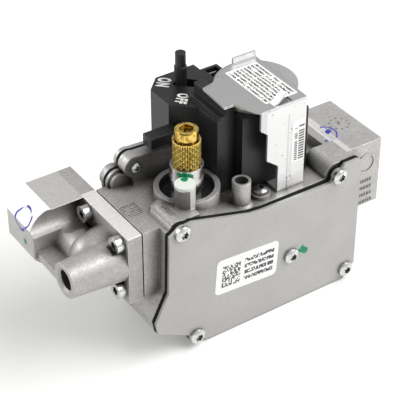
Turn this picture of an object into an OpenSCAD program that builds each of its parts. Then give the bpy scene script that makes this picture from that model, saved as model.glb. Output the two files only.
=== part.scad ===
// Combination gas valve: a die-cast body with a flat front cover, two solenoid
// valves under a steel bracket, a diaphragm main valve, a pressure regulator,
// an ON/OFF switch and a bolted outlet elbow with a pressure tap.
// The origin is the middle of the base face. +X points out of the inlet and
// +Z is up. All sizes are in millimetres.

/* [Body casting] */
// Distance from the outlet joint to the inlet face
body_len = 139.4; // [136:0.1:146]
// Height of the pipe axis above the base
flow_z = 53.75; // [52:0.25:55]
// Width of the square pipe bosses, front to back
boss_w = 41; // [40:0.5:43]
// Height of the square pipe bosses
boss_h = 37.5; // [36:0.5:38]
// Height of the low deck that carries the coils
deck_z = 65.9; // [65:0.1:66.5]
// Distance from the pipe axis to the front rim
front_y = 25.4; // [25:0.1:28]
// Width of the front rim round the gas chamber
rim_wall = 4.4; // [4:0.1:5]
// Depth of the front gas chamber
chamber_depth = 15.4; // [15:0.1:16]
// Height of the sloped band over the left of the deck
band_rise = 3; // [2.5:0.25:4]

/* [Pipe connections] */
// Radius of the pipe thread wall
pipe_r = 9.9; // [9:0.1:10.4]
// Depth of the pipe threads
pipe_depth = 16; // [13:0.5:17]
// Radius of the main gas passages
passage_r = 8; // [7:0.25:8.5]

/* [Front and rear covers] */
// Thickness of the front cover plate
cover_t = 1.6; // [1.2:0.1:3]
// Thickness of the gaskets
gasket_t = 1.9; // [1:0.1:2.2]
// Thickness of the rear cover plate
rear_t = 2.2; // [1.5:0.1:3]

/* [Cover screws] */
// Shank radius of the cover screws
screw_r = 1.9; // [1.5:0.05:2]
// Head radius of the cover screws
screw_head_r = 4; // [3.8:0.1:4.2]
// Head height of the cover screws
screw_head_h = 3; // [2.4:0.1:3.4]
// Length of the cover screw shanks
screw_len = 12; // [9:0.5:13]

/* [Outlet elbow] */
// Thickness of the elbow's flange
flange_t = 7.5; // [6.5:0.25:8.5]
// Thickness of the elbow's seal
seal_t = 0.6; // [0.4:0.1:1]
// Distance from the elbow's flange to its far face
elbow_reach = 27.6; // [26.5:0.1:30]
// Distance from the pipe axis to the outlet face
elbow_depth = 44.1; // [42:0.5:47]
// Outer radius of the elbow's tube
tube_r = 14; // [13:0.25:14.2]
// Outer radius of the pressure tap boss
tap_boss_r = 8.8; // [8:0.1:9]
// Radius of the pressure tap's thread wall
tap_r = 5.1; // [4.6:0.1:5.4]
// Depth of the pressure tap's thread
tap_depth = 13; // [10:0.5:15]
// Half spacing of the flange bolts, front to back
bolt_dy = 14.3; // [14:0.1:14.8]
// Half spacing of the flange bolts, up and down
bolt_dz = 13.25; // [13:0.05:13.6]
// Shank radius of the flange bolts
bolt_r = 2.4; // [2:0.1:2.5]
// Head radius of the flange bolts
bolt_head_r = 4.2; // [3.6:0.1:4.3]
// Head height of the flange bolts
bolt_head_h = 4; // [3:0.25:5]

/* [Regulator] */
// Outer radius of the ring on the deck
ring_r = 15.7; // [15:0.1:15.8]
// Inner radius of the ring on the deck
ring_bore_r = 13.1; // [12:0.1:13.5]
// Height of the ring above the pipe bosses
ring_rise = 4.5; // [4:0.25:5]
// Outer radius of the regulator tower
tower_r = 8; // [7.8:0.1:8.4]
// Height of the tower's rim above the pipe bosses
tower_rise = 17; // [15:0.5:19]
// Radius of the knurled brass cap
cap_r = 6.7; // [6.2:0.05:6.9]
// Height of the cap above the tower's rim
cap_rise = 19; // [17:0.5:21]
// Radius of the vent rib in front of the tower
rib_r = 5; // [4.5:0.1:5.2]
// Height of the vent rib above the pipe bosses
rib_rise = 14.6; // [10:0.2:16]

/* [Test nipple] */
// Outer radius of the test nipple
nipple_r = 4.5; // [4.2:0.1:4.8]
// Bore radius of the test nipple
nipple_bore_r = 3.25; // [3:0.05:3.4]
// Height of the test nipple above the deck
nipple_h = 13.8; // [11:0.2:16]

/* [Solenoids] */
// Distance between the two coil axes
coil_pitch = 18; // [17.6:0.1:18.6]
// Outer radius of the coils
coil_r = 8.5; // [8:0.1:8.7]
// Height of the coils
coil_h = 28; // [25:0.5:29]
// Plunger radius
plunger_r = 3.55; // [3.2:0.05:3.7]
// Travel of the plungers and the main valve
stroke = 2.5; // [1.5:0.1:3]
// Radius of the round pole cap
pole_cap_r = 20; // [19:0.1:20.5]

/* [Bracket] */
// Sheet thickness of the bracket
sheet_t = 1.2; // [0.8:0.1:1.6]
// Height of the bracket's top face above the deck
bracket_h = 48.6; // [48:0.1:50]

/* [Switch] */
// Height of the switch housing's top above the deck
housing_h = 40.6; // [38:0.1:42]
// Radius of the switch pin
pin_r = 2.6; // [2.2:0.1:2.8]
// Height of the switch pin above the housing
pin_rise = 16.4; // [12:0.2:20]
// Travel of the switch from ON to OFF
switch_travel = 6.6; // [5:0.1:7]

/* [Clearances] */
// Radial clearance of sliding and turning fits
fit = 0.08; // [0.03:0.01:0.1]
// Gap between parts that pass each other
gap = 0.3; // [0.2:0.05:0.4]

/* [Hidden] */
$fn = 64;

half = body_len / 2;
boss_top = flow_z + boss_h / 2;
boss_bot = flow_z - boss_h / 2;
rear_y = boss_w / 2;
floor_y = chamber_depth - front_y;
side_l = half - 8.1;
side_r = half - 19.3;
base_l = side_l - 22.1;
base_r = side_r - 6.8;
pad_l = side_l - 4;
pad_top = boss_top + band_rise;
flare = 7.4;

// Front rim outline, as [x, z], without the lug at its upper right.
low_rim = [
    [-side_l + 0.8, boss_top - 0.9],
    [-side_l, boss_bot + 4],
    [-side_l - flare, 23.6],
    [-side_l - flare + 1.2, 17.3],
    [-base_l - 11, 8],
    [-base_l, 0],
    [base_r, 0],
    [side_r, 7.9]
];
rim = concat([[-48.5, pad_top], [-pad_l + 2.5, pad_top - 0.6]], low_rim, [
    [side_r - 0.1, boss_top - 2.2],
    [side_r - 0.8, boss_top - 0.4],
    [side_r - 2.4, boss_top + 0.3],
    [40, boss_top + 0.3],
    [31.6, deck_z - 1.1],
    [-8.9, deck_z - 0.1],
    [-15.9, deck_z + 0.6]
]);
core = concat(low_rim, [
    [side_r - 0.1, deck_z],
    [-20, deck_z],
    [-44, boss_top],
    [-side_l + 1, boss_top]
]);
band = [
    [-pad_l, boss_top - 3],
    [-pad_l, pad_top],
    [-48, pad_top],
    [-15.9, deck_z + 0.6],
    [-15.9, deck_z - 8],
    [-pad_l, deck_z - 8]
];
chamber = inset([
    [-side_l, deck_z],
    [-side_l, boss_bot + 4],
    [-side_l - flare, 23.6],
    [-side_l - flare + 1.2, 17.3],
    [-base_l - 11, 8],
    [-base_l, 0],
    [base_r, 0],
    [side_r, 7.9],
    [side_r, deck_z]
], rim_wall);

// Screw places of the front cover and the rear cover, as [x, z].
cover_screws = [
    [-pad_l + 3.5, boss_top - 0.8],
    [side_r - 14, deck_z + 1.5],
    [base_r + 0.8, 6.7],
    [-base_l - 6.8, 6.3],
    [9, 30.9]
];
rear_screws_at = [[-53, 14], [40, 10], [40, 56]];
wall_screw_at = [-52.1, boss_top + 10.1];
lobe_at = [-58.5, boss_top + 1.5];

// Elbow.
joint_x = -half - seal_t;
flange_x = joint_x - flange_t;
far_x = flange_x - elbow_reach;
elbow_x = (far_x + joint_x) / 2;
scoop_at = [16.3, flow_z + 12.4];
scoop_r = 6.75;
duct_r = 6;
duct_z = flow_z - 1.25;
tap_at = [-9.9, flow_z + 0.8];

// Regulator.
reg_at = [-35.6, -5];
rib_at = reg_at + (tower_r + rib_r) * [-0.605, -0.796];
recess_z = boss_top - 2.2;
flange_top = recess_z + 3.6;
tower_top = boss_top + tower_rise;
ring_top = boss_top + ring_rise;
tower_bore_r = cap_r + fit;
cap_foot = tower_top - 5.5;
cap_top = tower_top + cap_rise;

// Deck fittings.
nipple_at = [-14.6, -19.4];
deck_screw_at = [-2.8, -18.4];

// Solenoids.
coil_y = 3.6;
bracket_top = deck_z + bracket_h;
coil_mid = 9.3;
coil_a = [coil_mid - coil_pitch / 2, coil_y];
coil_b = [coil_mid + coil_pitch / 2, coil_y];
seat_z = deck_z - 19.3;
disc_r = 6;
disc_t = 2.4;
disc_z = seat_z + gap;
plunger_z = disc_z + disc_t;
plunger_top = plunger_z + 34;
tube_in = plunger_r + fit;
tube_out = tube_in + 0.55;
coil_z = deck_z + 2.6;
coil_top = coil_z + coil_h;
pole_z = plunger_top + 7;
housing_l_z = bracket_top - 6.5;
housing_r_z = housing_l_z - 6.4;
house_l = coil_mid - 19.1;
house_r = coil_mid + 19.3;
tall_r = coil_mid + 10.7;
house_y = coil_y - 16.5;

// Main valve, with its axis along Y.
main_at = [-30, 30];
main_seat_r = 7.5;
main_disc_y = floor_y - 2 - gap;
membrane_y = floor_y - 8.6;

// Bracket and switch.
leg_y = -21.4;
switch_top = deck_z + housing_h;
pin_at = [-14.1, 32.5];
slot_w = 2 * pin_r + 1.6;
foot_l = pin_r + 1;
foot_z = switch_top - 10.4;

// Moves each edge of an outline inwards by d; the outline runs anticlockwise
// as seen from the front.
function unit(v) = v / norm(v);
function inset(p, d) = [
    for (i = [0 : len(p) - 1])
        let (
            a = p[(i + len(p) - 1) % len(p)],
            b = p[i],
            c = p[(i + 1) % len(p)],
            u = unit(b - a),
            v = unit(c - b),
            n1 = [-u[1], u[0]],
            n2 = [-v[1], v[0]],
            m = (n1 + n2) / (1 + n1 * n2)
        )
        b + d * m
];

// A tube of round wire wound along Z from z = 0, with straight ends turned
// down by one wire diameter. It is one unbroken tube with 6 sides.
function coil_point(t, r, h, turns) = [
    r * cos(360 * turns * t), r * sin(360 * turns * t), h * t
];
module wound(r, wire, h, turns) {
    n = turns * 8;
    pts = [
        for (i = [0 : n])
            let (
                t = i / n,
                c = coil_point(t, r, h - wire, turns),
                a = 360 * turns * t
            )
            for (k = [0 : 5])
                c + [
                    cos(60 * k) * cos(a) * wire / 2,
                    cos(60 * k) * sin(a) * wire / 2,
                    sin(60 * k) * wire / 2 + wire / 2
                ]
    ];
    sides = [
        for (i = [0 : n - 1])
            for (k = [0 : 5])
                let (a = 6 * i + k, b = 6 * i + (k + 1) % 6)
                each [[a, b, b + 6], [a, b + 6, a + 6]]
    ];
    first = [for (k = [1 : 4]) [0, k + 1, k]];
    last = [for (k = [1 : 4]) [6 * n, 6 * n + k, 6 * n + k + 1]];
    echo(str("least gap between turns ", (h - wire) / turns - wire));
    polyhedron(points = pts, faces = concat(first, sides, last), convexity = 8);
}

module prism(p, y0, y1) {
    translate([0, y1, 0])
        rotate([90, 0, 0])
            linear_extrude(height = y1 - y0)
                polygon(p);
}
module xcyl(y, z, r, x0, x1) {
    translate([x0, y, z])
        rotate([0, 90, 0])
            cylinder(r = r, h = x1 - x0);
}
module ycyl(x, z, r, y0, y1) {
    translate([x, y1, z])
        rotate([90, 0, 0])
            cylinder(r = r, h = y1 - y0);
}
module zcyl(at, r, z0, z1) {
    translate([at[0], at[1], z0])
        cylinder(r = r, h = z1 - z0);
}
module box(lo, hi) {
    translate(lo)
        cube(hi - lo);
}

// Six-lobed drive recess, pointing down into z < 0.
module lobed_recess(r, depth) {
    translate([0, 0, -depth])
        linear_extrude(height = depth + 1)
            union() {
                circle(r = r * 0.82);
                for (i = [0 : 5])
                    rotate([0, 0, 60 * i])
                        translate([r * 0.8, 0])
                            circle(r = r * 0.26, $fn = 24);
            }
}
// Pan head screw along -Z, its head seated on z = 0.
module pan_screw(len) {
    difference() {
        union() {
            intersection() {
                cylinder(r = screw_head_r, h = screw_head_h);
                translate([0, 0, screw_head_h - 6.5])
                    sphere(r = 6.5);
            }
            translate([0, 0, -len])
                cylinder(r = screw_r, h = len + 0.5);
        }
        translate([0, 0, screw_head_h])
            lobed_recess(1.95, 1.5);
    }
}

module inlet_block() {
    box([43, -rear_y, boss_bot], [side_r - 0.8, rear_y, boss_top - 1.2]);
    box([side_r + 0.6, -rear_y, boss_bot], [half, rear_y, boss_top]);
    prism([
        [side_r - 0.8, boss_bot], [side_r + 0.7, boss_bot], [side_r + 0.7, boss_top],
        [side_r + 0.6, boss_top], [side_r - 1.8, boss_top - 1.2], [side_r - 1.8, boss_top - 3]
    ], -rear_y, rear_y);
    difference() {
        ycyl(60.6, flow_z + 6.8, 5.5, -rear_y - 0.4, -rear_y + 1);
        ycyl(60.6, flow_z + 6.8, 4.8, -rear_y - 1, -rear_y);
    }
}
module cover_lug() {
    s = cover_screws[1];
    ycyl(s[0], s[1] - 0.4, 5.7, -front_y, -8.8);
    box([s[0], -front_y, deck_z - 6], [side_r - 0.1, -8.8, boss_top]);
}
module rear_wall() {
    s = wall_screw_at;
    ycyl(s[0], s[1], 5.4, rear_y - 6.9, rear_y);
    ycyl(lobe_at[0], lobe_at[1], 6.3, rear_y - 1.5, rear_y);
    difference() {
        ycyl(lobe_at[0], lobe_at[1], 5.1, rear_y - 3.5, rear_y);
        ycyl(lobe_at[0], lobe_at[1], 3.9, rear_y - 4, rear_y - 3);
    }
    prism([
        [s[0] - 1, boss_top - 4], [-31.2, boss_top - 4],
        [-31.2, boss_top + 14], [s[0] + 2, s[1] + 5],
        [s[0] - 5.3, s[1] - 1], [s[0] - 1.4, boss_top + 5]
    ], rear_y - 6.9, rear_y);
}
module casting() {
    prism(core, -front_y, rear_y);
    prism(band, -front_y, -8.6);
    ycyl(cover_screws[0][0], cover_screws[0][1], 4.6, -front_y, -8.6);
    // Raised pad that carries the regulator's rib.
    translate([0, 0, boss_top - 3])
        linear_extrude(height = pad_top - boss_top + 3)
            polygon([
                [-pad_l, -front_y], [-42, -front_y], [-42, -5.7],
                [-pad_l + 4.6, -5.7], [-pad_l, -7.6]
            ]);
    box([-half, -rear_y, boss_bot], [-side_l + 4, rear_y, boss_top]);
    inlet_block();
    cover_lug();
    rear_wall();
    for (i = [2, 3])
        ycyl(cover_screws[i][0], cover_screws[i][1], 3.6, -front_y, floor_y);
    zcyl(reg_at, ring_r, recess_z - 8, ring_top);
    zcyl(rib_at, rib_r, recess_z - 8, ring_top);
    // Flat strip down the front of the rib.
    box([rib_at[0] - 0.09 * rib_r, rib_at[1] - 1.03 * rib_r, recess_z - 5],
        [rib_at[0] + 0.46 * rib_r, rib_at[1] - 0.75 * rib_r, boss_top + rib_rise - 1]);
    zcyl(nipple_at, nipple_r, deck_z - 4, deck_z + nipple_h);
    translate([nipple_at[0], nipple_at[1], deck_z])
        cylinder(r1 = nipple_r + 1.2, r2 = nipple_r, h = 1.6);
    zcyl(deck_screw_at, 5, deck_z - 4, deck_z + 2);
}
// Wall from the middle cover screw to the right side of the chamber.
module web(y0, y1) {
    s = cover_screws[4];
    box([s[0] + 2.5, y0, s[1] - 1.4], [side_r - 2, y1, s[1] + 1.4]);
}
module round_wall() {
    ycyl(main_at[0], main_at[1], 19, floor_y - 12, floor_y);
}

module valve_body() {
    color([0.72, 0.71, 0.72])
    difference() {
        union() {
            difference() {
                casting();
                prism(chamber, -front_y - 1, floor_y);
                zcyl(coil_a, passage_r, seat_z - 2.6, deck_z - 3);
                zcyl(coil_b, passage_r, seat_z - 2.6, deck_z - 3);
                zcyl(reg_at, ring_bore_r, recess_z, ring_top + 40);
            }
            difference() {
                zcyl(rib_at, rib_r, flange_top + 0.1, boss_top + rib_rise);
                zcyl(reg_at, tower_r + 0.05, recess_z, tower_top);
            }
            intersection() {
                union() {
                    round_wall();
                    ycyl(cover_screws[4][0], cover_screws[4][1], 4.6, -front_y, floor_y);
                    web(-front_y, floor_y);
                    for (i = [1, 2, 3])
                        ycyl(cover_screws[i][0], cover_screws[i][1], 4.6,
                            -front_y, floor_y);
                }
                prism(rim, -front_y, rear_y);
            }
            difference() {
                zcyl(coil_a, 5.6, seat_z - 3, seat_z);
                zcyl(coil_a, 4.2, seat_z - 4, seat_z + 1);
            }
            difference() {
                zcyl(coil_b, 5.6, seat_z - 3, seat_z);
                zcyl(coil_b, 4.2, seat_z - 4, seat_z + 1);
            }
        }
        // Inlet thread, inlet passage and the two solenoid seats.
        xcyl(0, flow_z, pipe_r, half - pipe_depth, half + 1);
        xcyl(0, flow_z, passage_r, coil_b[0], half - pipe_depth + 1);
        zcyl(coil_a, tube_out + fit, deck_z - 4, deck_z + 1);
        zcyl(coil_b, tube_out + fit, deck_z - 4, deck_z + 1);
        zcyl(coil_a, 4.2, 38, seat_z - 2);
        zcyl(coil_b, 4.2, 38, seat_z - 2);
        // Cross passage to the front chamber.
        xcyl(coil_y, 38, 4.6, -6, coil_b[0]);
        ycyl(-6, 38, 4.6, floor_y - 1, coil_y);
        // Main valve port, riser and outlet passage.
        ycyl(main_at[0], main_at[1], main_seat_r, floor_y - 1, 0);
        zcyl([main_at[0], 0], 7, main_at[1], flow_z);
        xcyl(0, flow_z, passage_r, -half - 1, main_at[0] + 9);
        xcyl(coil_y, flow_z, 1.5, main_at[0] + 8, coil_a[0] - 5);
        // Round chamber of the main diaphragm and its seat ring.
        difference() {
            ycyl(main_at[0], main_at[1], 15, floor_y - 20, floor_y);
            ycyl(main_at[0], main_at[1], main_seat_r + 1.6, floor_y - 2, floor_y + 1);
        }
        ycyl(main_at[0], main_at[1], main_seat_r, floor_y - 3, floor_y);
        ycyl(main_at[0], main_at[1], 17.6, floor_y - 20, floor_y - 8.6);
        xcyl(floor_y - 4.6, main_at[1], 2.8, main_at[0] + 13, main_at[0] + 20);
        // Regulator ring, diaphragm seat and sensing port.
        zcyl(reg_at, 10.5, recess_z - 6, recess_z + 1);
        zcyl(reg_at, 1.5, flow_z, recess_z - 5);
        // Test nipple and tapped holes.
        zcyl(nipple_at, nipple_bore_r, deck_z - 6, deck_z + nipple_h + 1);
        zcyl(deck_screw_at, screw_r + 0.1, deck_z - 8, deck_z + 3);
        for (s = cover_screws)
            ycyl(s[0], s[1], screw_r + 0.1, -front_y - 1, -front_y + screw_len - 2);
        ycyl(wall_screw_at[0], wall_screw_at[1], 0.66 * screw_r + 0.1, 0, rear_y + 1);
        for (s = rear_screws_at)
            ycyl(s[0], s[1], screw_r + 0.1, rear_y - 8, rear_y + 1);
        for (y = [-bolt_dy, bolt_dy])
            for (z = [-bolt_dz, bolt_dz])
                xcyl(y, flow_z + z, bolt_r + 0.1, -half - 1, -half + 9);
    }
}
module rim_plate(y0, y1, out = 0) {
    prism(inset(rim, -out), y0, y1);
    for (i = [0, 1, 2, 3])
        ycyl(cover_screws[i][0], cover_screws[i][1], 3.7 + out, y0, y1);
}
module front_gasket() {
    color([0.07, 0.07, 0.08])
    difference() {
        intersection() {
            rim_plate(-front_y - gasket_t, -front_y, 0.2);
            box([-half, -front_y - 9, 0], [half, 0, boss_top + 20]);
        }
        difference() {
            prism(chamber, -front_y - gasket_t - 1, -front_y + 1);
            ycyl(cover_screws[4][0], cover_screws[4][1], 4.6, -front_y - 9, 0);
            web(-front_y - 9, 0);
            for (i = [1, 2, 3])
                ycyl(cover_screws[i][0], cover_screws[i][1], 4.6, -front_y - 9, 0);
        }
        for (s = cover_screws)
            ycyl(s[0], s[1], screw_r + 0.2, -front_y - 9, 0);
    }
}
cover_y = -front_y - gasket_t - cover_t;
module front_cover() {
    color([0.77, 0.78, 0.76])
    difference() {
        rim_plate(cover_y, -front_y - gasket_t);
        for (s = cover_screws)
            ycyl(s[0], s[1], screw_r + 0.2, cover_y - 1, 0);
    }
}
module front_screws() {
    color([0.8, 0.8, 0.8])
    for (i = [0 : 4])
        translate([cover_screws[i][0], cover_y, cover_screws[i][1]])
            rotate([90, 0, 0])
                rotate([0, 0, 17 * i])
                    pan_screw(screw_len);
}

module rear_plate(y0, y1) {
    s = wall_screw_at;
    prism([
        [-31.2, 3], [45, 3], [47, 10], [47, 62], [-20, 62], [-31.2, 66],
        [-31.2, boss_top + 14], [s[0] + 2, s[1] + 5],
        [s[0] - 5.3, s[1] - 1], [s[0] - 1.4, boss_top + 5],
        [lobe_at[0], lobe_at[1] + 5.5],
        [lobe_at[0] - 6.2, lobe_at[1] - 1], [-side_l, boss_bot + 4], [-side_l + 3.6, 10]
    ], y0, y1);
    ycyl(s[0], s[1], 5.4, y0, y1);
    ycyl(lobe_at[0], lobe_at[1], 6.3, y0, y1);
}
module rear_gasket() {
    color([0.07, 0.07, 0.08])
    difference() {
        rear_plate(rear_y, rear_y + gasket_t);
        for (s = concat(rear_screws_at, [wall_screw_at]))
            ycyl(s[0], s[1], screw_r + 0.2, 0, rear_y + 9);
    }
}
module rear_cover() {
    color([0.74, 0.74, 0.74])
    difference() {
        union() {
            rear_plate(rear_y + gasket_t, rear_y + gasket_t + rear_t);
            ycyl(lobe_at[0], lobe_at[1], 5.9, rear_y + gasket_t, rear_y + 6);
        }
        for (s = rear_screws_at)
            ycyl(s[0], s[1], screw_r + 0.2, 0, rear_y + 9);
        ycyl(wall_screw_at[0], wall_screw_at[1], 0.66 * screw_r + 0.1, 0, rear_y + 9);
    }
}
module rear_screws() {
    color([0.8, 0.8, 0.8])
    for (s = rear_screws_at)
        translate([s[0], rear_y + gasket_t + rear_t, s[1]])
            rotate([-90, 0, 0])
                pan_screw(9);
}
module wall_screw() {
    s = wall_screw_at;
    color([0.8, 0.8, 0.8])
    translate([s[0], rear_y - 6.9, s[1]])
        rotate([90, 0, 0])
            scale(0.66)
                pan_screw(15.4);
}

module outlet_elbow() {
    block_y = rear_y - 1.9;
    ax = far_x + 20.4;
    color([0.82, 0.82, 0.82])
    difference() {
        union() {
            box([flange_x, -rear_y, boss_bot], [joint_x, rear_y, boss_top]);
            prism([
                [joint_x, boss_top], [far_x + 10.5, boss_top],
                [far_x, boss_top - 10.5], [far_x, boss_bot + 12.5],
                [far_x + 10.5, boss_bot + 2], [joint_x, boss_bot]
            ], block_y, elbow_depth);
            translate([ax, 0, flow_z])
                rotate([0, 90, 0])
                    cylinder(r1 = 0.76 * tube_r, r2 = tube_r, h = joint_x - 1 - ax);
            translate([ax, 0, flow_z])
                rotate([0, -90, 0])
                    rotate_extrude()
                        intersection() {
                            circle(r = 0.76 * tube_r);
                            square(tube_r + 1);
                        }
            ycyl(ax, duct_z, duct_r + 3, 0, block_y + 1);
            translate([far_x, tap_at[0], tap_at[1]])
                rotate([0, 90, 0])
                    cylinder(r1 = tap_boss_r, r2 = tap_boss_r + 2.2,
                        h = joint_x - 1 - far_x);
            box([far_x + 1.4, -7, flow_z - 6], [ax, block_y + 1, flow_z - 2.5]);
        }
        // Scoop in the front of the block and driver access to the bolts.
        xcyl(scoop_at[0], scoop_at[1], scoop_r, far_x - 1, flange_x);
        for (y = [-bolt_dy, bolt_dy])
            for (z = [-bolt_dz, bolt_dz])
                xcyl(y, flow_z + z, bolt_head_r + gap,
                    y > 0 ? far_x - 1 : flange_x - bolt_head_h - 1.5, flange_x);
        // Duct from the joint round to the outlet thread.
        xcyl(0, duct_z, duct_r, ax, joint_x + 1);
        translate([ax, 0, duct_z])
            sphere(r = duct_r);
        ycyl(ax, duct_z, duct_r, 0, elbow_depth - pipe_depth + 1);
        ycyl(elbow_x, flow_z, pipe_r, elbow_depth - pipe_depth, elbow_depth + 1);
        xcyl(tap_at[0], tap_at[1], tap_r, far_x - 1, far_x + tap_depth);
        translate([far_x - 0.1, tap_at[0], tap_at[1]])
            rotate([0, 90, 0])
                cylinder(r1 = tap_r + 1.1, r2 = tap_r, h = 1.1);
        xcyl(tap_at[0], tap_at[1], 2, far_x + tap_depth - 1, ax + 4);
        ycyl(ax + 3, tap_at[1], 1.8, tap_at[0], 0);
        for (y = [-bolt_dy, bolt_dy])
            for (z = [-bolt_dz, bolt_dz])
                xcyl(y, flow_z + z, bolt_r + 0.3, flange_x - 9, joint_x + 1);
    }
}
module elbow_seal() {
    color([0.1, 0.1, 0.1])
    difference() {
        box([joint_x, -rear_y + 0.8, boss_bot + 0.8],
            [-half, rear_y - 0.8, boss_top - 0.8]);
        xcyl(0, flow_z, passage_r + 1, joint_x - 1, -half + 1);
        for (y = [-bolt_dy, bolt_dy])
            for (z = [-bolt_dz, bolt_dz])
                xcyl(y, flow_z + z, bolt_r + 0.3, joint_x - 1, -half + 1);
    }
}
module elbow_bolts() {
    color([0.75, 0.75, 0.76])
    for (y = [-bolt_dy, bolt_dy])
        for (z = [-bolt_dz, bolt_dz])
            translate([flange_x, y, flow_z + z])
                rotate([0, -90, 0])
                    difference() {
                        union() {
                            cylinder(r = bolt_head_r, h = bolt_head_h);
                            translate([0, 0, -flange_t - 7])
                                cylinder(r = bolt_r, h = flange_t + 8);
                        }
                        translate([0, 0, bolt_head_h])
                            lobed_recess(2.2, 2.2);
                    }
}
module inlet_screen() {
    x = half - pipe_depth - 2;
    color([0.7, 0.7, 0.7])
    difference() {
        xcyl(0, flow_z, passage_r - 0.05, x, x + 1);
        for (a = [0 : 60 : 300])
            xcyl(4.6 * cos(a), flow_z + 4.6 * sin(a), 1.9, x - 1, x + 2);
        xcyl(0, flow_z, 1.9, x - 1, x + 2);
    }
}

module regulator_tower() {
    color([0.8, 0.8, 0.8])
    difference() {
        union() {
            zcyl(reg_at, tower_r, recess_z + 1, tower_top);
            zcyl(reg_at, ring_bore_r - fit, recess_z + 1, recess_z + 2.4);
        }
        zcyl(reg_at, tower_bore_r, cap_foot - 3, tower_top + 1);
        zcyl(reg_at, 5.4, recess_z, tower_top);
    }
}
module recess_seal() {
    color([0.06, 0.06, 0.07])
    difference() {
        zcyl(reg_at, ring_bore_r - fit, recess_z + 2.4, flange_top);
        zcyl(reg_at, tower_r + 0.05, 0, tower_top);
    }
}
module regulator_diaphragm() {
    color([0.12, 0.1, 0.1])
    zcyl(reg_at, ring_bore_r - fit, recess_z, recess_z + 1);
}
module regulator_spring() {
    z0 = recess_z + 1;
    color([0.78, 0.78, 0.78])
    translate([reg_at[0], reg_at[1], z0 + 0.05])
        wound(3.9, 0.9, cap_foot + 4 - z0 - 0.1, 7);
}
module regulator_adjuster() {
    color([0.84, 0.66, 0.3])
    difference() {
        union() {
            zcyl(reg_at, 4.9, cap_foot + 4, cap_foot + 10);
            zcyl(reg_at, 3.2, cap_foot + 10, cap_top - 2.6);
        }
        translate([reg_at[0], reg_at[1], cap_top - 3.4])
            cube([5.2, 1.1, 2.4], center = true);
        translate([reg_at[0], reg_at[1], cap_top - 3.4])
            cube([1.1, 5.2, 2.4], center = true);
    }
}
module regulator_cap() {
    groove_z = cap_top - 4.4;
    color([0.86, 0.68, 0.26])
    difference() {
        union() {
            zcyl(reg_at, cap_r, cap_foot, groove_z - 1);
            zcyl(reg_at, cap_r - 1.7, groove_z - 2, cap_top);
            zcyl(reg_at, cap_r - 1.1, groove_z, cap_top - 0.4);
        }
        zcyl(reg_at, 4.9 + fit, cap_foot - 1, cap_foot + 10.5);
        zcyl(reg_at, 3.2 + fit, cap_foot, cap_top + 1);
        for (a = [0 : 10 : 350])
            translate([reg_at[0], reg_at[1], tower_top + 0.8])
                rotate([0, 0, a])
                    translate([cap_r, 0, 0])
                        rotate([0, 0, 45])
                            translate([-0.25, -0.25, 0])
                                cube([0.5, 0.5, groove_z - tower_top]);
    }
}

module nipple_screw() {
    z1 = deck_z + nipple_h - 3.4;
    color([0.8, 0.8, 0.8])
    difference() {
        zcyl(nipple_at, nipple_bore_r - fit, z1 - 8, z1);
        translate([nipple_at[0], nipple_at[1], z1 - 3])
            cylinder(r = 1.7, h = 4, $fn = 6);
    }
}
module deck_screw() {
    color([0.75, 0.75, 0.76])
    translate([deck_screw_at[0], deck_screw_at[1], deck_z + 2])
        scale(0.92)
            pan_screw(9);
}

module main_disc() {
    color([0.1, 0.1, 0.1])
    difference() {
        ycyl(main_at[0], main_at[1], main_seat_r + 1.4, main_disc_y - 2.4, main_disc_y);
        ycyl(main_at[0], main_at[1], 2, main_disc_y - 3, main_disc_y + 1);
    }
}
module main_stem() {
    y0 = main_disc_y - 2.4;
    color([0.75, 0.75, 0.75])
    union() {
        ycyl(main_at[0], main_at[1], 2, membrane_y - 1 - 0.8, main_disc_y - 0.2);
        ycyl(main_at[0], main_at[1], 6, y0 - 0.8, y0);
        ycyl(main_at[0], main_at[1], 10, membrane_y - 1.8, membrane_y - 1);
    }
}
module main_diaphragm() {
    color([0.15, 0.12, 0.1])
    difference() {
        ycyl(main_at[0], main_at[1], 17.5, membrane_y - 1, membrane_y);
        ycyl(main_at[0], main_at[1], 2.05, membrane_y - 2, membrane_y + 1);
    }
}
module clamp_ring() {
    color([0.7, 0.7, 0.7])
    difference() {
        ycyl(main_at[0], main_at[1], 17.5, membrane_y - 2, membrane_y - 1);
        ycyl(main_at[0], main_at[1], 15, membrane_y - 3, membrane_y);
    }
}
module main_spring() {
    y0 = membrane_y - 1.8 - 0.05;
    h = y0 + front_y + gasket_t - 0.1;
    color([0.78, 0.78, 0.78])
    translate([main_at[0], y0, main_at[1]])
        rotate([90, 0, 0])
            wound(7.2, 0.9, h, 3);
}

module valve_disc(at) {
    color([0.1, 0.1, 0.1])
    difference() {
        zcyl(at, disc_r, disc_z, plunger_z);
        zcyl(at, 1.6, disc_z - 1, plunger_z + 1);
    }
}
module plunger(at) {
    color([0.78, 0.78, 0.8])
    union() {
        zcyl(at, plunger_r, plunger_z, plunger_top);
        zcyl(at, 1.55, disc_z + 0.3, plunger_z + 1);
        zcyl(at, 5.2, plunger_z, plunger_z + 0.8);
    }
}
module plunger_spring(at) {
    color([0.78, 0.78, 0.78])
    translate([at[0], at[1], plunger_top + 0.05])
        wound(2.8, 0.7, pole_z - plunger_top - 0.1, 4);
}
module disc_a() { valve_disc(coil_a); }
module disc_b() { valve_disc(coil_b); }
module plunger_a() { plunger(coil_a); }
module plunger_b() { plunger(coil_b); }
module plunger_spring_a() { plunger_spring(coil_a); }
module plunger_spring_b() { plunger_spring(coil_b); }

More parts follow.
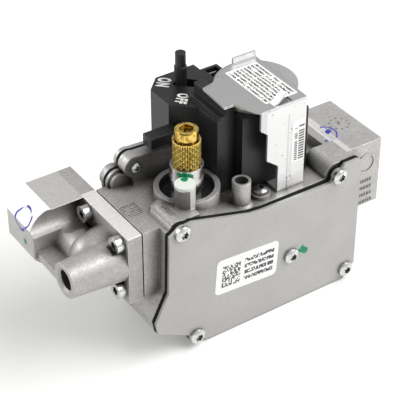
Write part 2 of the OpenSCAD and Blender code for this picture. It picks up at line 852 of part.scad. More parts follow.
module guide_tubes() {
    color([0.75, 0.72, 0.62])
    for (at = [coil_a, coil_b])
        difference() {
            union() {
                zcyl(at, tube_out, deck_z - 2.6, coil_top + 1);
                zcyl(at, 6.4, deck_z, deck_z + 1);
            }
            zcyl(at, tube_in, deck_z - 4, pole_z);
        }
}
module bobbins() {
    color([0.85, 0.83, 0.76])
    for (at = [coil_a, coil_b])
        difference() {
            zcyl(at, coil_r, coil_z, coil_top);
            difference() {
                zcyl(at, coil_r + 1, coil_z + 1.2, coil_top - 1.2);
                zcyl(at, tube_out + 1, coil_z, coil_top);
            }
            zcyl(at, tube_out + 0.05, coil_z - 1, coil_top + 1);
        }
}
module windings() {
    color([0.7, 0.4, 0.2])
    for (at = [coil_a, coil_b])
        difference() {
            zcyl(at, coil_r - 0.5, coil_z + 1.25, coil_top - 1.25);
            zcyl(at, tube_out + 1.05, coil_z, coil_top);
        }
}
module coil_housing() {
    z0 = deck_z + 0.1;
    color([0.13, 0.13, 0.14])
    difference() {
        union() {
            box([house_l, house_y, z0], [house_r, rear_y, housing_r_z]);
            box([house_l, house_y, z0], [tall_r, rear_y, housing_l_z]);
        }
        for (at = [coil_a, coil_b]) {
            zcyl(at, coil_r + 0.1, coil_z, coil_top);
            zcyl(at, 6.6, z0 - 1, deck_z + 1.1);
            zcyl(at, tube_out + 0.1, z0, coil_top + 1.05);
        }
    }
}
module pole_cap() {
    color([0.7, 0.7, 0.71])
    difference() {
        zcyl([coil_mid, coil_y], pole_cap_r, housing_r_z + 0.1,
            bracket_top - sheet_t - 0.1);
        box([house_l - pole_cap_r, house_y - 1.1, 0],
            [tall_r + 0.1, coil_y + pole_cap_r + 1, housing_l_z + 0.1]);
        box([house_l - pole_cap_r, coil_y - pole_cap_r - 1, 0],
            [house_l + 0.1, coil_y + pole_cap_r + 1, bracket_top]);
    }
}

leg_outline = [
    [-5.6, bracket_top], [-5.6, deck_z + 38.4], [-1.6, deck_z + 35.2],
    [-1.6, deck_z + 20.4], [5, deck_z + 15.3], [5, deck_z + 0.1],
    [20.4, deck_z + 0.1], [20.4, bracket_top]
];
plate_outline = [
    [-15.6, 11.4], [-9.1, 12.8], [-3.6, 17.2], [5.8, 21], [8.4, 21.6],
    [21.9, 21.6], [21.8, 16.7], [20.4, leg_y], [-5.6, leg_y],
    [-6.4, -19.4], [-11.8, -8.3], [-16.9, -8.1]
];
module bracket() {
    color([0.86, 0.86, 0.84])
    difference() {
        union() {
            prism(leg_outline, leg_y, leg_y + sheet_t);
            translate([0, 0, bracket_top - sheet_t])
                linear_extrude(height = sheet_t)
                    polygon(plate_outline);
            box([8, 21.6 - sheet_t, bracket_top - sheet_t],
                [21.4, 21.6, bracket_top + 3.4]);
            box([5, leg_y, deck_z + 0.1],
                [20.4, -13, deck_z + 0.1 + sheet_t]);
            // Stiffening bead in the leg.
            intersection() {
                translate([11, leg_y + 0.6, deck_z + 0.1])
                    cylinder(r = 1.1, h = bracket_h - 6);
                box([9, leg_y - 1, deck_z], [13, leg_y + 0.6, bracket_top]);
            }
        }
        // Window left by the raised tab.
        box([3.4, -20.3, bracket_top - 3], [12.8, -16.3, bracket_top + 1]);
    }
    color([0.86, 0.86, 0.84])
    translate([3, -20.1, bracket_top - sheet_t])
        rotate([0, -41, 0])
            cube([8.8, 3.6, sheet_t]);
}

function turned(at, d) = [at[0] + 0.7071 * d, at[1] - 0.7071 * d];
housing_outline = [
    [-29.9, 18.7], [-29.9, 34.5], [-21.9, 42.5], [0, 42.5], [0, 36.8],
    [9.7, 36.8], [9.7, rear_y + 0.2], [-10, rear_y + 0.2], [-10, -6.7],
    [-19.6, -6.7], [-19.6, 8.6]
];
module slot_box(w, l0, l1, z0, z1) {
    translate([pin_at[0], pin_at[1], 0])
        rotate([0, 0, -45])
            box([l0, -w / 2, z0], [l1, w / 2, z1]);
}
module switch_housing() {
    z0 = boss_top + 0.2;
    end = switch_travel + pin_r + 0.6;
    color([0.12, 0.12, 0.13])
    difference() {
        union() {
            translate([0, 0, z0])
                linear_extrude(height = switch_top - z0)
                    polygon(housing_outline);
            box([-19.6, -6.7, deck_z + 0.1], [-10, 20, z0 + 1]);
            box([-14.8, -6.7, switch_top - 1], [-10, 20, bracket_top - sheet_t - 0.1]);
            box([-18.3, -6.7, switch_top - 1], [-14.8, 20, switch_top + 2]);
            box([-44.5, 11.4, z0 + 17.7], [-29, 18.6, z0 + 23.3]);
        }
        slot_box(slot_w, -pin_r - 0.6, end, foot_z + 3, switch_top + 1);
        slot_box(slot_w + 1.2, -foot_l - gap, switch_travel + foot_l + gap,
            foot_z - 4, foot_z + 3.01);
        zcyl(reg_at, ring_r + gap, 0, ring_top + gap);
        box([1.4, 24.4, switch_top - 9], [8.3, 35.4, switch_top + 1]);
    }
}
module switch_lever() {
    color([0.1, 0.1, 0.11])
    union() {
        zcyl(pin_at, pin_r, foot_z + 1, switch_top + pin_rise);
        slot_box(slot_w + 0.8, -foot_l, foot_l, foot_z, foot_z + 2.6);
        translate([pin_at[0], pin_at[1], switch_top - 6])
            linear_extrude(height = 15)
                difference() {
                    circle(r = pin_r + 0.5);
                    for (a = [0 : 24 : 336])
                        rotate([0, 0, a])
                            translate([pin_r + 0.5, 0])
                                square(0.5, center = true);
                }
    }
}
module contact_bridge() {
    color([0.8, 0.5, 0.3])
    slot_box(slot_w, -3, 3, foot_z - 0.8, foot_z);
}
module fixed_contacts() {
    color([0.8, 0.5, 0.3])
    for (s = [-1, 1])
        translate([pin_at[0], pin_at[1], 0])
            rotate([0, 0, -45])
                box([-2.5, s * 2.4 - 0.9, foot_z - 4],
                    [2.5, s * 2.4 + 0.9, foot_z - 0.8 - gap]);
}
module terminals() {
    color([0.85, 0.85, 0.86])
    for (y = [26.4, 33.4])
        box([3, y - 0.4, switch_top - 9], [7.2, y + 0.4, switch_top - 1.5]);
}

valve_body();
front_gasket();
front_cover();
front_screws();
rear_gasket();
rear_cover();
rear_screws();
wall_screw();
outlet_elbow();
elbow_seal();
elbow_bolts();
inlet_screen();
regulator_tower();
recess_seal();
regulator_diaphragm();
regulator_spring();
regulator_adjuster();
regulator_cap();
nipple_screw();
deck_screw();
main_disc();
main_stem();
main_diaphragm();
clamp_ring();
main_spring();
disc_a();
disc_b();
plunger_a();
plunger_b();
plunger_spring_a();
plunger_spring_b();
guide_tubes();
bobbins();
windings();
coil_housing();
pole_cap();
bracket();
switch_housing();
switch_lever();
contact_bridge();
fixed_contacts();
terminals();
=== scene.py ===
# %% [markdown]
# # Dressing a gas valve
# The solids of a cast gas valve arrive ready made, each in its own place. This
# lesson gives them their metal, plastic, rubber and brass, adds the thin things
# that are stuck, printed, painted or stamped on them, and sets up the
# photographer's corner. All lengths in the file are written in millimetres and
# turned to metres by one small helper, because the parts were designed that way.

# %% Bring in the fixed frame
import math
import random

import bmesh
import bpy
from mathutils import Matrix, Vector


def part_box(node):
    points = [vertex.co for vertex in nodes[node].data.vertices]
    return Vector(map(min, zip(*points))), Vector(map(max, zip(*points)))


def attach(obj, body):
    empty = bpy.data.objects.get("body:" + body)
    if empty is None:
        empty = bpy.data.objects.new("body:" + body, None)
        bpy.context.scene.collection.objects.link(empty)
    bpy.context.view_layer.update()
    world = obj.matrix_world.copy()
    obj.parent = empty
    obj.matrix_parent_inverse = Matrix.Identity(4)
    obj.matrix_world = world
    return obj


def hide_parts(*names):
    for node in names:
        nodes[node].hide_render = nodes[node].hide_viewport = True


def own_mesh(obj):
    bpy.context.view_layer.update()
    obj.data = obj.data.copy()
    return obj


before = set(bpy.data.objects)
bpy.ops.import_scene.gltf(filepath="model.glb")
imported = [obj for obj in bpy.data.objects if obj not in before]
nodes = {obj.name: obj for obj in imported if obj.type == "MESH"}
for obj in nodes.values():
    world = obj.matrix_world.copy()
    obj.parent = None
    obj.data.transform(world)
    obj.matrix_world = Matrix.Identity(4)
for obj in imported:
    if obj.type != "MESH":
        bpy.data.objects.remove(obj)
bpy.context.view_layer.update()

# %% [markdown]
# ## The camera
# The photograph was taken from the front left and from above, with a long lens:
# parallel edges hardly draw together. A camera can be placed by trial and error,
# but it is quicker to point it at one known spot of the body, step back along
# one direction, and let the tracking quaternion do the turning.

# %% Place the camera
def mm(*values):
    """Millimetres to a vector in metres."""
    return Vector(values) / 1000


back = Vector((-0.4495, -0.6664, 0.5948)).normalized()
aim = mm(-33.85, -13.4, 72.5)
distance_to_aim = 0.6605
lens_data = bpy.data.cameras.new("portrait_lens")
lens_data.lens = 127.8
lens_data.sensor_width = 36
camera = bpy.data.objects.new("portrait_camera", lens_data)
camera.location = aim + back * distance_to_aim
camera.rotation_mode = "QUATERNION"
camera.rotation_quaternion = (-back).to_track_quat("-Z", "Y")
bpy.context.scene.collection.objects.link(camera)
bpy.context.scene.camera = camera
bpy.context.scene.view_settings.view_transform = "Standard"
print("camera at", [round(c, 3) for c in camera.location])

# %% [markdown]
# ## Small tools for shader trees
# Every finish below is a tree of nodes. Writing out each node and link by hand
# hides the idea behind a finish, so short helpers keep the trees readable: they
# add a node and fill its sockets, do a sum, blend colours and make noise.
# Positions come from the Object output of the texture coordinates, so patterns
# stay glued to the part and never slide with the camera.

# %% Helpers that build node trees
def add(tree, kind, inputs=None, **settings):
    """Adds a shader node, sets its options, and fills or links its sockets."""
    node = tree.nodes.new(kind)
    for key, value in settings.items():
        setattr(node, key, value)
    for key, value in (inputs or {}).items():
        if isinstance(value, bpy.types.NodeSocket):
            tree.links.new(value, node.inputs[key])
        else:
            node.inputs[key].default_value = value
    return node


def calc(tree, operation, a, b=0.0):
    """One sum with two inputs."""
    return add(tree, "ShaderNodeMath", {0: a, 1: b}, operation=operation).outputs[0]


def times(tree, a, b):
    """The product of two inputs, the sum that the finishes need most."""
    return calc(tree, "MULTIPLY", a, b)


def blend_colour(tree, amount, first, second):
    """Goes from the first colour to the second as the amount goes from 0 to 1."""
    return add(tree, "ShaderNodeMix", {0: amount, 6: first, 7: second}, data_type="RGBA").outputs[2]


def grain(tree, place, size, detail=2.0, rough=0.5):
    """Cloudy noise whose blobs are about size millimetres wide; centred on 0.5."""
    return add(tree, "ShaderNodeTexNoise", {"Vector": place, "Scale": 1000 / size, "Detail": detail,
                                            "Roughness": rough}).outputs["Fac"]


def steps(tree, value, low, high, dark=0.0, light=1.0):
    """Stretches value so that low becomes dark and high becomes light, held at both ends."""
    inputs = {0: value, 1: low, 2: high, 3: dark, 4: light}
    return add(tree, "ShaderNodeMapRange", inputs).outputs[0]


def rgb(level, warm=0.0):
    """A grey in linear light, a little warm above 0 and cool below it."""
    return (level * (1 + warm), level, level * (1 - warm), 1.0)


def darker(colour, share):
    """The same colour with only a share of its light."""
    return tuple(c * share for c in colour[:3]) + (1,)


def start_finish(name):
    """A new material with its tree, its principled shader and the part's own coordinates."""
    finish = bpy.data.materials.new(name)
    finish.use_nodes = True
    tree = finish.node_tree
    shader = tree.nodes["Principled BSDF"]
    place = add(tree, "ShaderNodeTexCoord").outputs["Object"]
    return finish, tree, shader, place


print("shader helpers ready")

# %% [markdown]
# ## Edges and hollows
# No cast or moulded edge is razor sharp. Rounding every solid would mean heavy
# meshes, so the light is rounded instead: the Bevel node bends the normal within
# a fraction of a millimetre of an edge. The same bent normal, compared with the
# flat one, finds the edges, which handling polishes brighter. The Ambient
# Occlusion node finds the hollows, and the finishes paint shade into them.

# %% Rounded edges, worn edges and painted shade in hollows
def rounded(tree, radius):
    """Normal that is rounded over near edges."""
    return add(tree, "ShaderNodeBevel", {"Radius": radius / 1000}, samples=4).outputs[0]


def edge_mask(tree, normal):
    """0 on flat faces and up to 1 on edges."""
    flat = add(tree, "ShaderNodeNewGeometry").outputs["Normal"]
    facing = add(tree, "ShaderNodeVectorMath", {0: normal, 1: flat},
                 operation="DOT_PRODUCT").outputs["Value"]
    return steps(tree, facing, 0.995, 0.8)


def painted_hollow_shade(tree, reach):
    """1 in tight corners and 0 on open faces; shade is painted where it is high."""
    open_sky = add(tree, "ShaderNodeAmbientOcclusion", {"Distance": reach / 1000},
                   samples=6).outputs["AO"]
    return steps(tree, open_sky, 0.9, 0.35)


def relief(tree, height, depth, normal=None):
    """Bump from a height; depth is in millimetres."""
    inputs = {"Height": height, "Distance": depth / 1000, "Strength": 1.0}
    if normal is not None:
        inputs["Normal"] = normal
    return add(tree, "ShaderNodeBump", inputs).outputs[0]


print("edge and hollow helpers ready")

# %% [markdown]
# ## Cast aluminium
# The body, the elbow and the rear cover are pressure die castings. Their skin is
# a light, slightly mottled grey with a fine orange-peel grain, a few darker flow
# clouds, and brighter rubbed edges. A metal shader alone looks like polished
# plate; here noise at four sizes drives the colour, the roughness and the bump.
# Ink and sealing paint are part of the same tree, as blots at given places, so
# that they lie on the metal without any thickness. The zones are boxes of painted
# shade and painted highlight, in which the skin is drawn darker or lighter. They
# were matched to the photograph, so what they hold is its light rather than the
# metal. The hollows get painted shade too, and the elbow's chamfer a painted
# highlight.

# %% The cast aluminium recipe
BLOT_RIM, ZONE_RIM = 0.15, 0.25
PEN_WOBBLE, PEN_SKIP = 0.0022, 0.45
CLOUD_SIZE, MOTTLE_SIZE, PORE_SIZE, PEEL_SIZE = 9, 1.6, 0.7, 0.55
CAST_EDGE, CAST_SHADE_REACH = 0.45, 8
EDGE_SHINE, HIGHLIGHT_GREY = 0.86, 0.72


def away_from(tree, place, centre):
    """Distance in metres from a point given in millimetres."""
    return add(tree, "ShaderNodeVectorMath", {0: place, 1: mm(*centre)},
               operation="DISTANCE").outputs["Value"]


def blot(tree, place, centre, radius, wobble):
    """A spot of paint with an uneven rim around a point given in millimetres."""
    away = away_from(tree, place, centre)
    swing = calc(tree, "SUBTRACT", grain(tree, place, 2.2, 3.0), 0.5)
    uneven = times(tree, swing, wobble * 4 / 1000)
    return steps(tree, calc(tree, "ADD", away, uneven),
                 (radius + BLOT_RIM) / 1000, (radius - BLOT_RIM) / 1000)


def pen_ring(tree, place, centre, radius, width):
    """A hand drawn ring of ink, broken where the pen skipped."""
    away = away_from(tree, place, centre)
    swing = calc(tree, "SUBTRACT", grain(tree, place, 5, 1.0), 0.5)
    uneven = times(tree, swing, PEN_WOBBLE)
    off = calc(tree, "ABSOLUTE", calc(tree, "SUBTRACT", calc(tree, "ADD", away, uneven),
                                      radius / 1000))
    line = steps(tree, off, (width * 0.62) / 1000, (width * 0.38) / 1000)
    skips = steps(tree, grain(tree, place, 3.0, 2.0), PEN_SKIP - 0.06, PEN_SKIP + 0.02)
    return times(tree, line, skips)


def zone(tree, place, low, high):
    """1 inside an upright box given in millimetres, with a soft rim."""
    parts = add(tree, "ShaderNodeSeparateXYZ", {0: place}).outputs
    mask = None
    for axis in range(3):
        enter = steps(tree, parts[axis], (low[axis] - ZONE_RIM) / 1000, low[axis] / 1000)
        leave = steps(tree, parts[axis], (high[axis] + ZONE_RIM) / 1000, high[axis] / 1000)
        both = times(tree, enter, leave)
        mask = both if mask is None else times(tree, mask, both)
    return mask


INK = (0.03, 0.035, 0.36, 1)
SEAL_GREEN = (0.0, 0.22, 0.085, 1)
SEAL_WHITE = (0.66, 0.70, 0.66, 1)
ARC_START = 1.8


def painted(tree, place, colour, metal, marks):
    """Lays paint and ink on a metal; marks is a list of (kind, colour, centre, radius, extra)."""
    for kind, tint, centre, radius, extra in marks:
        maker = blot if kind == "blot" else pen_ring
        mask = maker(tree, place, centre, radius, extra)
        if kind == "arc":
            far_half = add(tree, "ShaderNodeSeparateXYZ", {0: place}).outputs[0]
            start = (centre[0] + ARC_START) / 1000
            mask = times(tree, mask, calc(tree, "GREATER_THAN", far_half, start))
        colour = blend_colour(tree, mask, colour, tint)
        metal = times(tree, metal, calc(tree, "SUBTRACT", 1.0, mask))
    return colour, metal


def cast_aluminium(name, level, warm=0.012, marks=(), hollow_shade=0.75, light_and_shade_zones=(), highlight_face=None):
    """Die cast aluminium; marks go to painted, the zones are (low, high, grey, amount) boxes of
    painted shade and painted highlight, and the last argument is (direction, low, high) for the
    faces turned that way inside the box, which get a painted highlight."""
    finish, tree, shader, place = start_finish(name)
    normal = rounded(tree, CAST_EDGE)
    clouds = grain(tree, place, CLOUD_SIZE, 4.0, 0.6)
    mottle = grain(tree, place, MOTTLE_SIZE, 3.0, 0.65)
    colour = blend_colour(tree, steps(tree, clouds, 0.3, 0.7),
                          rgb(level * 0.86, warm), rgb(level * 1.08, warm))
    colour = blend_colour(tree, steps(tree, mottle, 0.35, 0.75, 0.0, 0.6),
                          colour, rgb(level * 0.7, warm * 2))
    pores = steps(tree, grain(tree, place, PORE_SIZE, 2.0, 0.7), 0.5, 0.7, 0.0, 0.62)
    colour = blend_colour(tree, pores, colour, rgb(level * 0.45, warm * 3))
    colour = blend_colour(tree, times(tree, edge_mask(tree, normal), 0.6), colour, rgb(EDGE_SHINE))
    # painted shade: the hollows are drawn towards a dark warm grey
    colour = blend_colour(tree, times(tree, painted_hollow_shade(tree, CAST_SHADE_REACH), hollow_shade), colour,
                          rgb(0.06, 0.10))
    metal = steps(tree, clouds, 0.2, 0.8, 0.62, 0.72)
    # painted shade and painted highlight: each box draws the colour towards its own grey
    for low, high, grey, amount in light_and_shade_zones:
        painted_tone = blend_colour(tree, steps(tree, mottle, 0.35, 0.7),
                            rgb(grey * 1.06, warm), rgb(grey * 0.88, warm))
        colour = blend_colour(tree, times(tree, zone(tree, place, low, high), amount), colour, painted_tone)
    # painted highlight: faces turned towards the given direction, inside the box, are drawn
    # brighter
    if highlight_face:
        direction, low, high = highlight_face
        facing = add(tree, "ShaderNodeTexCoord").outputs["Normal"]
        alignment = add(tree, "ShaderNodeVectorMath", {0: facing, 1: direction},
                  operation="DOT_PRODUCT").outputs["Value"]
        bright = times(tree, steps(tree, alignment, 0.86, 0.93, 0.0, 0.75), zone(tree, place, low, high))
        colour = blend_colour(tree, bright, colour, rgb(HIGHLIGHT_GREY))
    dull = steps(tree, mottle, 0.25, 0.75, 0.40, 0.58)
    colour, metal = painted(tree, place, colour, metal, marks)
    peel = calc(tree, "ADD", times(tree, grain(tree, place, PEEL_SIZE, 2.0), 0.5), mottle)
    tree.links.new(colour, shader.inputs["Base Color"])
    tree.links.new(metal, shader.inputs["Metallic"])
    tree.links.new(dull, shader.inputs["Roughness"])
    tree.links.new(relief(tree, peel, 0.09, normal), shader.inputs["Normal"])
    return finish


body_marks = [
    ("blot", SEAL_WHITE, (-43.6, -15.5, 88.3), 5.5, 0.25),
    ("blot", SEAL_GREEN, (-41.9, -12.4, 87.1), 1.8, 0.7),
    ("arc", INK, (48.4, -2.1, 72.5), 6.0, 1.0),
    ("blot", INK, (51.3, -1.3, 72.5), 1.5, 0.8),
    ("blot", INK, (46.2, -6.2, 71.3), 0.7, 0.3),
]
elbow_marks = [
    ("ring", INK, (-103.7, 31.0, 63.7), 5.6, 1.1),
    ("blot", SEAL_GREEN, (-105.4, 27.3, 53.0), 1.5, 0.6),
]
body_light_and_shade = [
    # painted shade on the rear wall's front and on the post's flat, painted highlight on the strip
    # beside it and on the inlet's step
    ((-58.5, 13.2, 74.0), (-30.0, 14.3, 92.0), 0.10, 0.85),
    ((-49.5, -20.42, 76.2), (-44.1, -10.0, 86.3), 0.12, 0.85),
    ((-43.8, -20.9, 74.0), (-41.0, -20.44, 86.3), 0.62, 0.8),
    ((47.8, -20.7, 71.2), (51.0, 20.7, 72.45), 0.95, 0.8),
]
elbow_light_and_shade = [
    # painted highlight on the flange's top edge, painted shade in the hollow and in the tapping's
    # bore, painted highlight on the top, painted shade on the flange's front
    ((-77.7, -21.0, 72.3), (-70.4, 21.0, 72.8), 0.97, 0.85),
    ((-106.0, -21.0, 40.0), (-78.2, 20.5, 61.5), 0.40, 0.5),
    ((-104.1, -15.1, 49.3), (-92.0, -4.7, 59.8), 0.05, 0.9),
    ((-107.0, -22.0, 71.9), (-78.0, 46.0, 79.0), 0.72, 0.55),
    ((-77.5, -21.2, 36.0), (-70.4, -20.5, 71.8), 0.38, 0.6),
]
aluminium_body = cast_aluminium("aluminium_body", 0.55, 0.02, body_marks, 1.0, body_light_and_shade)
# the elbow's chamfer gets a painted highlight
chamfer_highlight = ((-0.7, 0.0, 0.7), (-107.0, -22.0, 60.8), (-93.4, 46.0, 78.0))
aluminium_elbow = cast_aluminium("aluminium_elbow", 0.56, 0.025, elbow_marks, 1.0, elbow_light_and_shade,
                                 chamfer_highlight)
aluminium_rear = cast_aluminium("aluminium_rear", level=0.55)
print("cast finishes:", aluminium_body.name, aluminium_elbow.name, aluminium_rear.name)

# %% [markdown]
# ## Turned, rolled and plated metal
# The regulator tower comes off a lathe: bright, with faint rings that run round
# its axis. The front cover is flat sheet with a fine even grain. The bracket is
# zinc plated sheet, nearly white, with small dark specks and cloudy spangle; its
# top plate carries painted shade and its leg a painted highlight. The screws are
# bright zinc, one of them darker, with painted shade in their sockets, and each
# of these metals gets painted shade in its hollows. They share the helpers, but
# each has its own pattern, since the eye tells these metals apart by pattern.

# %% Turned aluminium, sheet, zinc and steel
SHADE_STREAK_BROWN = (0.34, 0.17, 0.02, 1)
SPECK_SIZE = 2.6


def diamonds(tree, place, centre, low, high, count, climb):
    """Diamond knurl on an upright cylinder: two crossing helices, 0 in the grooves and 1 on
    the tips, and the band of heights that carries them."""
    parts = add(tree, "ShaderNodeSeparateXYZ", {0: place}).outputs
    east = calc(tree, "SUBTRACT", parts[0], centre[0] / 1000)
    north = calc(tree, "SUBTRACT", parts[1], centre[1] / 1000)
    turn = times(tree, calc(tree, "ARCTAN2", north, east), float(count))
    rise = times(tree, parts[2], climb * 1000)
    one = calc(tree, "SINE", calc(tree, "ADD", turn, rise))
    other = calc(tree, "SINE", calc(tree, "SUBTRACT", turn, rise))
    band = times(tree, calc(tree, "GREATER_THAN", parts[2], low / 1000),
                calc(tree, "LESS_THAN", parts[2], high / 1000))
    return times(tree, steps(tree, calc(tree, "MAXIMUM", one, other), 0.2, 0.95), band), band


def upright_streaks(tree, place):
    """The place with its height squeezed, so a noise read there runs in upright streaks."""
    squeeze = (1.0, 1.0, 0.35)
    return add(tree, "ShaderNodeMapping", {"Vector": place, "Scale": squeeze}).outputs["Vector"]


def turned_metal(name, colour, roughness, ring=0.35, marks=(), shade_in_hollows=0.5, knurl=None):
    """Lathe finished metal with fine rings across its upright axis."""
    finish, tree, shader, place = start_finish(name)
    normal = rounded(tree, 0.25)
    split = add(tree, "ShaderNodeSeparateXYZ", {0: place})
    along = times(tree, split.outputs[2], 1000 / ring)
    rings = add(tree, "ShaderNodeTexNoise", {"W": along, "Scale": 1.0, "Detail": 3.0},
                noise_dimensions="1D").outputs["Fac"]
    smears = grain(tree, place, 4, 3.0)
    shade = blend_colour(tree, steps(tree, rings, 0.3, 0.7), colour, darker(colour, 0.82))
    # painted shade: the hollows are drawn darker
    shade = blend_colour(tree, times(tree, painted_hollow_shade(tree, 3), shade_in_hollows), shade, rgb(0.05, 0.2))
    shader.inputs["Metallic"].default_value = 1.0
    if marks:
        shade, metal = painted(tree, place, shade, 1.0, marks)
        tree.links.new(metal, shader.inputs["Metallic"])
    if knurl:
        # painted shade: upright dark brown streaks over the cap
        shade_streaks = grain(tree, upright_streaks(tree, place), 1.5, 2.0, 0.6)
        shade = blend_colour(tree, steps(tree, shade_streaks, 0.5, 0.62, 0.0, 0.8), shade, SHADE_STREAK_BROWN)
        tips, band = diamonds(tree, place, *knurl)
        # painted shade: the knurl's grooves are drawn dark
        dark = darker(colour, 0.22)
        groove_shade = times(tree, band, calc(tree, "SUBTRACT", 1.0, tips))
        shade = blend_colour(tree, times(tree, groove_shade, 0.75), shade, dark)
        normal = relief(tree, tips, 0.25, normal)
    tree.links.new(shade, shader.inputs["Base Color"])
    dull = steps(tree, smears, 0.3, 0.7, roughness * 0.75, roughness * 1.3)
    tree.links.new(dull, shader.inputs["Roughness"])
    tree.links.new(relief(tree, rings, 0.02, normal), shader.inputs["Normal"])
    return finish


def sheet_metal(name, level, metallic, specks, roughness=0.42, warm=-0.006, marks=(), light_and_shade_zones=()):
    """Rolled sheet; specks runs from 0 for none to 1 for a plated, spangled face."""
    finish, tree, shader, place = start_finish(name)
    normal = rounded(tree, 0.2)
    cloud = grain(tree, place, 22, 3.0)
    fine = grain(tree, place, 0.8, 2.0, 0.7)
    colour = blend_colour(tree, steps(tree, cloud, 0.3, 0.7),
                          rgb(level * 0.95, warm), rgb(level * 1.05, warm))
    colour = blend_colour(tree, steps(tree, fine, 0.45, 0.75, 0.0, 0.22),
                          colour, rgb(level * 0.7, warm))
    # painted shade and painted highlight: each box draws the colour towards its own grey
    for low, high, grey, amount in light_and_shade_zones:
        inside = times(tree, zone(tree, place, low, high), amount)
        colour = blend_colour(tree, inside, colour, rgb(grey))
    spots = add(tree, "ShaderNodeTexVoronoi",
                {"Vector": place, "Scale": 1000 / SPECK_SIZE}).outputs["Distance"]
    rare = steps(tree, grain(tree, place, 3.5, 1.0), 0.5, 0.62)
    spots = times(tree, steps(tree, spots, 0.22, 0.12), times(tree, rare, specks))
    colour = blend_colour(tree, spots, colour, rgb(level * 0.35, 0.04))
    # painted shade: the hollows are drawn darker
    colour = blend_colour(tree, times(tree, painted_hollow_shade(tree, 2.5), 0.5), colour, rgb(0.12))
    shader.inputs["Metallic"].default_value = metallic
    if marks:
        colour, metal = painted(tree, place, colour, metallic, marks)
        tree.links.new(metal, shader.inputs["Metallic"])
    tree.links.new(colour, shader.inputs["Base Color"])
    dull = steps(tree, fine, 0.3, 0.7, roughness * 0.85, roughness * 1.2)
    tree.links.new(dull, shader.inputs["Roughness"])
    tree.links.new(relief(tree, fine, 0.02, normal), shader.inputs["Normal"])
    return finish


def plated_steel(name, level, roughness, warm=0.0):
    """Small bright parts: screws, springs, washers."""
    finish, tree, shader, place = start_finish(name)
    normal = rounded(tree, 0.18)
    smears = grain(tree, place, 1.4, 3.0, 0.6)
    colour = blend_colour(tree, steps(tree, smears, 0.35, 0.7),
                          rgb(level, warm), rgb(level * 0.8, warm))
    # painted shade: sockets and hollows are drawn nearly black
    colour = blend_colour(tree, times(tree, painted_hollow_shade(tree, 2.2), 0.95), colour, rgb(0.012))
    tree.links.new(colour, shader.inputs["Base Color"])
    dull = steps(tree, smears, 0.3, 0.7, roughness * 0.7, roughness * 1.4)
    tree.links.new(dull, shader.inputs["Roughness"])
    shader.inputs["Metallic"].default_value = 1.0
    tree.links.new(relief(tree, smears, 0.02, normal), shader.inputs["Normal"])
    return finish


tower_marks = [
    ("blot", SEAL_GREEN, (-42.9, -9.6, 87.4), 1.7, 0.6),
    ("blot", SEAL_GREEN, (-41.2, -11.0, 87.2), 2.2, 0.6),
    ("blot", SEAL_GREEN, (-39.0, -12.3, 86.9), 2.0, 0.6),
]
cover_marks = [
    ("blot", SEAL_GREEN, (16.2, -28.9, 31.3), 2.2, 0.9),
    ("blot", SEAL_GREEN, (18.0, -28.9, 29.6), 1.9, 0.9),
]
tower_metal = turned_metal("tower_metal", rgb(0.72), 0.24, marks=tower_marks)
stem_metal = turned_metal("stem_metal", rgb(0.7), 0.28)
cover_sheet = sheet_metal("cover_sheet", 0.45, 0.45, 0.3, 0.5, 0.02, cover_marks)
bracket_light_and_shade = [
    # painted shade on the top plate and painted highlight on the leg
    ((-26.0, -21.0, 113.9), (60.0, 44.0, 115.0), 0.5, 0.8),
    ((-2.0, -23.0, 60.0), (40.0, -20.9, 113.0), 0.8, 0.7),
]
bracket_zinc = sheet_metal("bracket_zinc", 0.65, 0.8, 1.0, 0.34, light_and_shade_zones=bracket_light_and_shade)
pole_sheet = sheet_metal("pole_sheet", 0.46, 0.7, 0.3, 0.5)
screw_zinc = plated_steel("screw_zinc", 0.74, 0.24)
screw_dark = plated_steel("screw_dark", 0.34, 0.3)
spring_steel = plated_steel("spring_steel", 0.6, 0.3, 0.01)
print("metal finishes:", tower_metal.name, cover_sheet.name, bracket_zinc.name, screw_zinc.name)

# %% [markdown]
# ## Brass, copper, plastic and rubber
# The regulator cap is free-cutting brass with tool marks; it carries painted
# shade in upright dark brown streaks and in the grooves of its knurl. The coil
# housing and the switch are black moulded plastic: nearly black, with a fine
# spark-eroded grain and a soft sheen that turns lighter faces grey. Gaskets and
# valve discs are matt black rubber. Inside, hidden until the valve is opened up,
# are white coil formers and enamelled copper wire.

# %% Brass, black plastic, rubber and the hidden materials
cap_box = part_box("regulator_cap")
cap_axis = (-35.6, -5.0)
knurl_low = cap_box[0].z * 1000 + 1.2
knurl_high = cap_box[1].z * 1000 - 6.4
knurl_count, knurl_climb = 14, 2.1
brass = turned_metal("brass_bright", (0.90, 0.66, 0.17, 1), 0.16, 0.5, shade_in_hollows=0.9,
                     knurl=(cap_axis, knurl_low, knurl_high, knurl_count, knurl_climb))
screw_brass = turned_metal("screw_brass", (0.72, 0.48, 0.12, 1), 0.26, 0.4, shade_in_hollows=0.9)
contact_brass = turned_metal("brass_contacts", (0.78, 0.60, 0.30, 1), 0.3, 0.6)
tinned = plated_steel("tinned_brass", 0.62, 0.34, 0.04)


